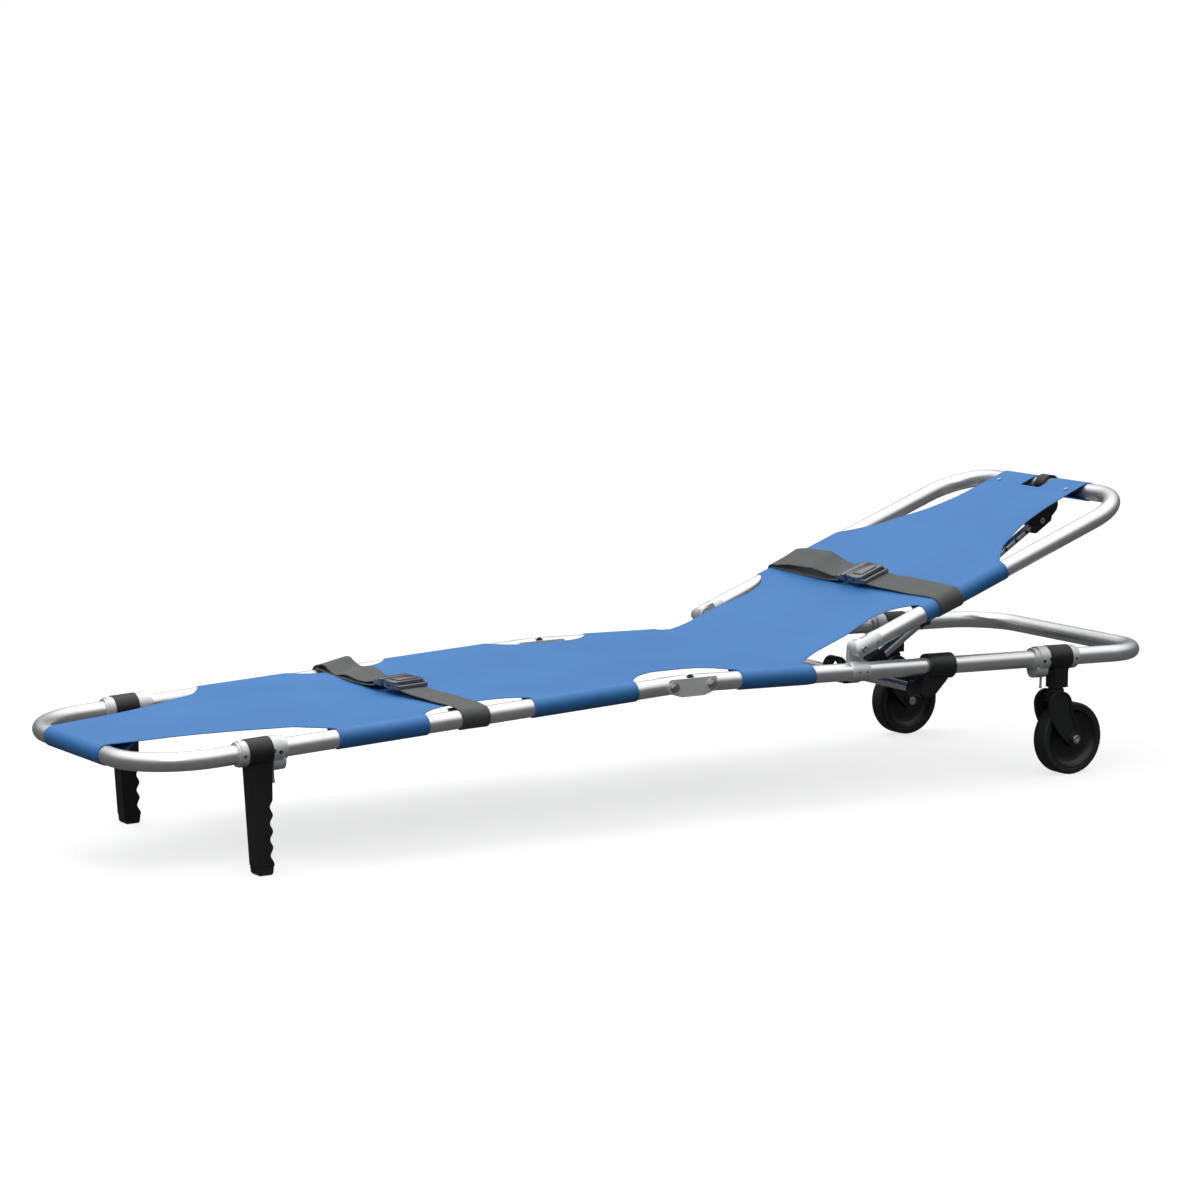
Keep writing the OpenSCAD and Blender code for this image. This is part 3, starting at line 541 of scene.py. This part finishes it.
def tongue(name, fr, s0):
    z = 19.6
    base = plate("t1", [(-26, 6), (26, 6), (28.5, 10), (28.5, 17), (26, 20), (-26, 20), (-28.5, 17), (-28.5, 10)], z, z + 12.5, 1.4, 1.6)
    bar = plate("t2", [(-27, 27), (27, 27), (27, 33), (-27, 33)], z + 1, z + 8.5, 0.6, 1.6)
    e1 = plate("t3", [(-28, 17), (-24.5, 17), (-24.5, 31), (-28, 31)], z + 1, z + 9, 0, 1.2)
    e2 = plate("t4", [(24.5, 17), (28, 17), (28, 31), (24.5, 31)], z + 1, z + 9, 0, 1.2)
    p0 = plate("t5", [(-4, -20), (4, -20), (5, 8), (-5, 8)], z + 4.2, z + 8.6, 0, 0.9)
    p1 = plate("t6", [(-26.5, -10), (-28.2, -15), (-26, -22), (-20, -25), (-16, -22), (-15, -8), (-13, 8), (-21, 8), (-22, -6)],
               z + 4.2, z + 8.6, 0, 0.9)
    p2 = plate("t7", [(26.5, -10), (28.2, -15), (26, -22), (20, -25), (16, -22), (15, -8), (13, 8), (21, 8), (22, -6)][::-1],
               z + 4.2, z + 8.6, 0, 0.9)
    return merge(name, [base, bar, e1, e2, p0, p1, p2], fr, s0)


foot_rec = receiver("foot_buckle_socket", foot, STRAP_S)
foot_ton = tongue("foot_buckle_plug", foot, STRAP_S)
chest_rec = receiver("chest_buckle_socket", back, CHEST_S)
chest_ton = tongue("chest_buckle_plug", back, CHEST_S)


# ---------------------------------------------------------------- materials
def new_mat(name):
    m = bpy.data.materials.new(name)
    m.use_nodes = True
    nt = m.node_tree
    nt.nodes.clear()
    out = nt.nodes.new("ShaderNodeOutputMaterial")
    b = nt.nodes.new("ShaderNodeBsdfPrincipled")
    nt.links.new(b.outputs[0], out.inputs[0])
    return m, nt, b


def node(nt, kind, **kw):
    n = nt.nodes.new(kind)
    for k, v in kw.items():
        setattr(n, k, v)
    return n


def val(nt, op, a, b=None, c=None, clamp=False):
    n = node(nt, "ShaderNodeMath", operation=op, use_clamp=clamp)
    for i, x in enumerate((a, b, c)):
        if x is None:
            continue
        if isinstance(x, (int, float)):
            n.inputs[i].default_value = x
        else:
            nt.links.new(x, n.inputs[i])
    return n.outputs[0]


def noise_tex(nt, coord, scale, detail=3.0, stretch=None):
    t = node(nt, "ShaderNodeTexNoise")
    t.inputs["Scale"].default_value = scale
    t.inputs["Detail"].default_value = detail
    if stretch:
        mp = node(nt, "ShaderNodeMapping")
        mp.inputs["Scale"].default_value = stretch
        nt.links.new(coord, mp.inputs["Vector"])
        coord = mp.outputs[0]
    nt.links.new(coord, t.inputs["Vector"])
    return t.outputs["Fac"]


def ramp(nt, fac, stops):
    r = node(nt, "ShaderNodeValToRGB")
    el = r.color_ramp.elements
    while len(el) < len(stops):
        el.new(0.5)
    for e, (p, c) in zip(el, stops):
        e.position = p
        e.color = (*c, 1)
    nt.links.new(fac, r.inputs[0])
    return r.outputs[0]


def bump(nt, b, height, dist, bevel=0.0, strength=1.0):
    n = node(nt, "ShaderNodeBump")
    n.inputs["Distance"].default_value = dist
    n.inputs["Strength"].default_value = strength
    nt.links.new(height, n.inputs["Height"])
    if bevel:
        bv = node(nt, "ShaderNodeBevel", samples=4)
        bv.inputs["Radius"].default_value = bevel
        nt.links.new(bv.outputs[0], n.inputs["Normal"])
    nt.links.new(n.outputs[0], b.inputs["Normal"])


def coords(nt):
    return node(nt, "ShaderNodeTexCoord").outputs["Object"]


def metal(name, col, rough, stretch, bevel=0.0, metallic=1.0, vary=0.05):
    m, nt, b = new_mat(name)
    c = coords(nt)
    f = noise_tex(nt, c, 60, 4, stretch)
    g = noise_tex(nt, c, 9, 3)
    lo_c = tuple(x * (1 - vary) for x in col)
    hi_c = tuple(min(1.0, x * (1 + vary)) for x in col)
    nt.links.new(ramp(nt, g, [(0.3, lo_c), (0.7, hi_c)]), b.inputs["Base Color"])
    b.inputs["Metallic"].default_value = metallic
    r = val(nt, "MULTIPLY_ADD", f, 0.14, rough - 0.07)
    nt.links.new(r, b.inputs["Roughness"])
    bump(nt, b, f, 0.00004, bevel)
    return m


def plastic(name, col, rough, grain=900.0, depth=0.00005, bevel=0.0008, spec=0.5):
    m, nt, b = new_mat(name)
    c = coords(nt)
    f = noise_tex(nt, c, grain, 2)
    g = noise_tex(nt, c, 14, 4)
    nt.links.new(ramp(nt, g, [(0.3, tuple(x * 0.8 for x in col)), (0.75, tuple(x * 1.3 for x in col))]), b.inputs["Base Color"])
    nt.links.new(val(nt, "MULTIPLY_ADD", g, 0.16, rough - 0.08), b.inputs["Roughness"])
    b.inputs["Specular IOR Level"].default_value = spec
    bump(nt, b, f, depth, bevel)
    return m


def canvas_mat():
    m, nt, b = new_mat("blue_oxford_canvas")
    c = coords(nt)
    sep = node(nt, "ShaderNodeSeparateXYZ")
    nt.links.new(c, sep.inputs[0])
    p = 2 * math.pi / 0.0011
    wx = val(nt, "SINE", val(nt, "MULTIPLY", sep.outputs[0], p))
    wy = val(nt, "SINE", val(nt, "MULTIPLY", sep.outputs[1], p))
    weave = val(nt, "MULTIPLY_ADD", val(nt, "MULTIPLY", wx, wy), 0.5, 0.5)
    big = noise_tex(nt, c, 5, 3)
    fine = noise_tex(nt, c, 420, 2)
    e = node(nt, "ShaderNodeAttribute", attribute_name="edge").outputs["Fac"]
    run = node(nt, "ShaderNodeAttribute", attribute_name="run").outputs["Fac"]
    # stitch line 6.5 mm inside each free edge
    band = val(nt, "LESS_THAN", val(nt, "ABSOLUTE", val(nt, "SUBTRACT", e, 0.0065)), 0.0006)
    dash = val(nt, "GREATER_THAN", val(nt, "SINE", val(nt, "MULTIPLY", val(nt, "ADD", run, sep.outputs[1]), 2 * math.pi / 0.0040)), -0.4)
    # seam that closes the sleeve round each rail, a little inboard of the tube
    ay = val(nt, "ABSOLUTE", sep.outputs[1])
    seam = val(nt, "LESS_THAN", val(nt, "ABSOLUTE", val(nt, "SUBTRACT", ay, 0.2210)), 0.00055)
    dash2 = val(nt, "GREATER_THAN", val(nt, "SINE", val(nt, "MULTIPLY", run, 2 * math.pi / 0.0040)), -0.4)
    stitch = val(nt, "MAXIMUM", val(nt, "MULTIPLY", band, dash), val(nt, "MULTIPLY", seam, dash2))
    base = ramp(nt, val(nt, "MULTIPLY_ADD", weave, 0.12, val(nt, "MULTIPLY", big, 0.88)),
                [(0.25, (0.014, 0.138, 0.400)), (0.75, (0.024, 0.176, 0.465))])
    mix = node(nt, "ShaderNodeMix", data_type="RGBA")
    nt.links.new(val(nt, "MULTIPLY", stitch, 0.6), mix.inputs["Factor"])
    nt.links.new(base, mix.inputs["A"])
    mix.inputs["B"].default_value = (0.02, 0.09, 0.36, 1)
    nt.links.new(mix.outputs["Result"], b.inputs["Base Color"])
    nt.links.new(val(nt, "MULTIPLY_ADD", fine, 0.14, 0.44), b.inputs["Roughness"])
    b.inputs["Sheen Weight"].default_value = 0.09
    b.inputs["Sheen Roughness"].default_value = 0.45
    b.inputs["Sheen Tint"].default_value = (0.45, 0.70, 1.0, 1)
    b.inputs["Specular IOR Level"].default_value = 0.6
    h = val(nt, "ADD", val(nt, "MULTIPLY", weave, 0.35), val(nt, "ADD", val(nt, "MULTIPLY", fine, 0.25), val(nt, "MULTIPLY", stitch, 1.6)))
    bump(nt, b, h, 0.00022)
    return m


def webbing_mat():
    m, nt, b = new_mat("woven_webbing")
    c = coords(nt)
    e = node(nt, "ShaderNodeAttribute", attribute_name="edge").outputs["Fac"]
    run = node(nt, "ShaderNodeAttribute", attribute_name="run").outputs["Fac"]
    ribs = val(nt, "SINE", val(nt, "MULTIPLY", run, 2 * math.pi / 0.0018))
    cols = val(nt, "SINE", val(nt, "MULTIPLY", e, 2 * math.pi / 0.0025))
    wv = val(nt, "MULTIPLY_ADD", val(nt, "MULTIPLY", ribs, cols), 0.5, 0.5)
    big = noise_tex(nt, c, 40, 3)
    fine = noise_tex(nt, c, 700, 2)
    base = ramp(nt, val(nt, "MULTIPLY_ADD", wv, 0.35, val(nt, "MULTIPLY", big, 0.65)),
                [(0.2, (0.028, 0.030, 0.029)), (0.8, (0.066, 0.069, 0.066))])
    nt.links.new(base, b.inputs["Base Color"])
    nt.links.new(val(nt, "MULTIPLY_ADD", fine, 0.15, 0.5), b.inputs["Roughness"])
    b.inputs["Sheen Weight"].default_value = 0.25
    bump(nt, b, val(nt, "ADD", wv, val(nt, "MULTIPLY", fine, 0.4)), 0.0003)
    return m


def coated(m, weight, rough):
    b = [n for n in m.node_tree.nodes if n.type == "BSDF_PRINCIPLED"][0]
    b.inputs["Coat Weight"].default_value = weight
    b.inputs["Coat Roughness"].default_value = rough
    return m


M = {
    "tube": metal("drawn_aluminium_tube", (0.87, 0.88, 0.89), 0.30, (0.05, 1.0, 1.0), 0.0, 0.88),
    "tube_y": metal("drawn_aluminium_cross", (0.86, 0.87, 0.885), 0.30, (1.0, 0.05, 1.0)),
    "stay": metal("stay_tube", (0.78, 0.79, 0.81), 0.33, (0.05, 1.0, 1.0)),
    "bracket": metal("pressed_bracket", (0.86, 0.87, 0.88), 0.42, (0.2, 1, 1), 0.0006, 0.55),
    "cast": metal("cast_collar", (0.66, 0.675, 0.69), 0.46, (1, 1, 1), 0.0008, 0.6),
    "screw": metal("steel_screw", (0.70, 0.70, 0.71), 0.28, (1, 1, 1), 0.0004),
    "dark_screw": metal("dark_screw", (0.10, 0.10, 0.105), 0.40, (1, 1, 1), 0.0003, 0.8),
    "black": plastic("black_nylon", (0.0105, 0.0115, 0.0125), 0.42),
    "grip": plastic("black_grip", (0.0085, 0.009, 0.0095), 0.50, 500.0, 0.00009, 0.0016),
    "tyre": plastic("dark_tyre", (0.017, 0.019, 0.020), 0.62, 380.0, 0.00009, 0.0012, 0.35),
    "hub": plastic("wheel_hub", (0.010, 0.011, 0.012), 0.40, 700.0, 0.00004, 0.0008),
    "buckle": coated(plastic("buckle_plastic", (0.055, 0.060, 0.067), 0.30, 900.0, 0.00003, 0.0009, 0.9), 1.0, 0.08),
    "canvas": canvas_mat(),
    "web": webbing_mat(),
}
PICK = [
    ("stay_crossbar", "tube_y"), ("stay_inner_tube", "stay"), ("stay_outer_tube", "stay"), ("base_rail", "tube"), ("foot_rail", "tube"),
    ("back_rail", "tube"), ("stay_rivet", "screw"), ("stay_", "black"), ("fold_brackets", "bracket"), ("fold_", "screw"), ("kingpin", "screw"),
    ("axle", "screw"), ("back_pivot_pins", "screw"), ("clamp_screws", "dark_screw"), ("collar_screws", "dark_screw"), ("rivets", "screw"),
    ("back_clamps", "cast"), ("back_knuckles", "cast"), ("collars", "cast"), ("leg_latch", "cast"), ("caster_latch", "cast"), ("tyre", "tyre"),
    ("wheel", "hub"), ("leg_near", "grip"), ("leg_far", "grip"), ("leg_tip", "tyre"),
]


def set_mat(ob, m):
    ob.data.materials.clear()
    ob.data.materials.append(m)


for nm, ob in NODES.items():
    for key, which in PICK:
        if key in nm:
            set_mat(ob, M[which])
            break
    else:
        set_mat(ob, M["black"])

for ob in (sheet_a, sheet_b, sheet_c):
    set_mat(ob, M["canvas"])
for ob in (foot_near, foot_far, foot_low, chest_near, chest_far, chest_low):
    set_mat(ob, M["web"])
for ob in (foot_rec, foot_ton, chest_rec, chest_ton):
    set_mat(ob, M["buckle"])

# ---------------------------------------------------------------- which body each piece rides on
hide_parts("canvas_foot")
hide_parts("canvas_mid")
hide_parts("canvas_back")
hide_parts("foot_strap_near")
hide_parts("foot_strap_far")
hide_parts("chest_strap_near")
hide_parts("chest_strap_far")
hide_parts("foot_buckle_receiver")
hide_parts("foot_buckle_tongue")
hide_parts("chest_buckle_receiver")
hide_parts("chest_buckle_tongue")
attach(foot_near, "foot_frame")
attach(chest_near, "backrest")
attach(foot_rec, "foot_frame")
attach(chest_rec, "backrest")
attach(foot_ton, "foot_tongue")
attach(chest_ton, "chest_tongue")


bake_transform(foot_far)
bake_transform(foot_low)
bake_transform(chest_far)
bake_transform(chest_low)
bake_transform(sheet_a)
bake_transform(sheet_b)
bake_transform(sheet_c)

# ---------------------------------------------------------------- stage, light and camera
bpy.ops.mesh.primitive_plane_add(size=60, location=(0, 0, 0))
floor = bpy.context.object
floor.name = "floor"
fm, fnt, fb = new_mat("pale_floor")
fb.inputs["Base Color"].default_value = (0.97, 0.97, 0.97, 1)
fb.inputs["Roughness"].default_value = 1.0
fb.inputs["Specular IOR Level"].default_value = 0.0
fb.inputs["Emission Color"].default_value = (1, 1, 1, 1)
fb.inputs["Emission Strength"].default_value = 0.13
fclear = fnt.nodes.new("ShaderNodeBsdfTransparent")
fmix = fnt.nodes.new("ShaderNodeMixShader")
fmix.inputs[0].default_value = 0.30
fnt.links.new(fclear.outputs[0], fmix.inputs[1])
fnt.links.new(fb.outputs[0], fmix.inputs[2])
fnt.links.new(fmix.outputs[0], [n for n in fnt.nodes if n.type == "OUTPUT_MATERIAL"][0].inputs[0])
set_mat(floor, fm)
floor.visible_diffuse = False
floor.visible_glossy = False
floor.visible_shadow = False

world = bpy.data.worlds.new("studio")
bpy.context.scene.world = world
world.use_nodes = True
wn = world.node_tree
wn.nodes.clear()
wo = wn.nodes.new("ShaderNodeOutputWorld")
geo = wn.nodes.new("ShaderNodeTexCoord")
sp = wn.nodes.new("ShaderNodeSeparateXYZ")
wn.links.new(geo.outputs["Generated"], sp.inputs[0])
r1 = wn.nodes.new("ShaderNodeValToRGB")
wn.links.new(sp.outputs[2], r1.inputs[0])
els = r1.color_ramp.elements
while len(els) < 5:
    els.new(0.5)
for e, (p, c) in zip(els, ((0.0, 0.09), (0.22, 0.12), (0.44, 0.50), (0.62, 1.05), (1.0, 1.30))):
    e.position = p
    e.color = (c, c, c * 1.01, 1)
bg1 = wn.nodes.new("ShaderNodeBackground")
bg1.inputs["Strength"].default_value = 1.0
wn.links.new(r1.outputs[0], bg1.inputs[0])
bg2 = wn.nodes.new("ShaderNodeBackground")
bg2.inputs["Color"].default_value = (1, 1, 1, 1)
bg2.inputs["Strength"].default_value = 1.0
lp = wn.nodes.new("ShaderNodeLightPath")
mx = wn.nodes.new("ShaderNodeMixShader")
wn.links.new(lp.outputs["Is Camera Ray"], mx.inputs[0])
wn.links.new(bg1.outputs[0], mx.inputs[1])
wn.links.new(bg2.outputs[0], mx.inputs[2])
wn.links.new(mx.outputs[0], wo.inputs[0])


def area(name, loc, target, size, power):
    d = bpy.data.lights.new(name, "AREA")
    d.shape = "RECTANGLE"
    d.size, d.size_y = size
    d.energy = power
    o = bpy.data.objects.new(name, d)
    bpy.context.scene.collection.objects.link(o)
    o.location = loc
    o.rotation_euler = (Vector(target) - Vector(loc)).to_track_quat("-Z", "Y").to_euler()
    return o


area("key", (-0.9, 0.5, 3.6), (0, 0, 0.2), (3.2, 2.0), 66)
area("fill", (-2.6, -2.2, 2.2), (0.2, 0, 0.2), (1.6, 1.6), 9)

CAM = (-3.40605644, -5.44827348, 1.24688246)
YAW, PITCH, ROLL, FPX = 0.5557625117, 0.1406004411, -0.0020972, 3852.72955
f = np.array([math.sin(YAW) * math.cos(PITCH), math.cos(YAW) * math.cos(PITCH), -math.sin(PITCH)])
right = np.cross(f, [0, 0, 1])
right /= np.linalg.norm(right)
up = np.cross(right, f)
c, s = math.cos(ROLL), math.sin(ROLL)
r2, u2 = c * right + s * up, -s * right + c * up
cam_data = bpy.data.cameras.new("camera")
cam = bpy.data.objects.new("camera", cam_data)
bpy.context.scene.collection.objects.link(cam)
cam.matrix_world = Matrix(((r2[0], u2[0], -f[0], CAM[0]), (r2[1], u2[1], -f[1], CAM[1]), (r2[2], u2[2], -f[2], CAM[2]), (0, 0, 0, 1)))
cam_data.sensor_width = 36.0
cam_data.lens = FPX / 1200 * 36.0
cam_data.clip_end = 100
bpy.context.scene.camera = cam
bpy.context.scene.view_settings.view_transform = "Standard"
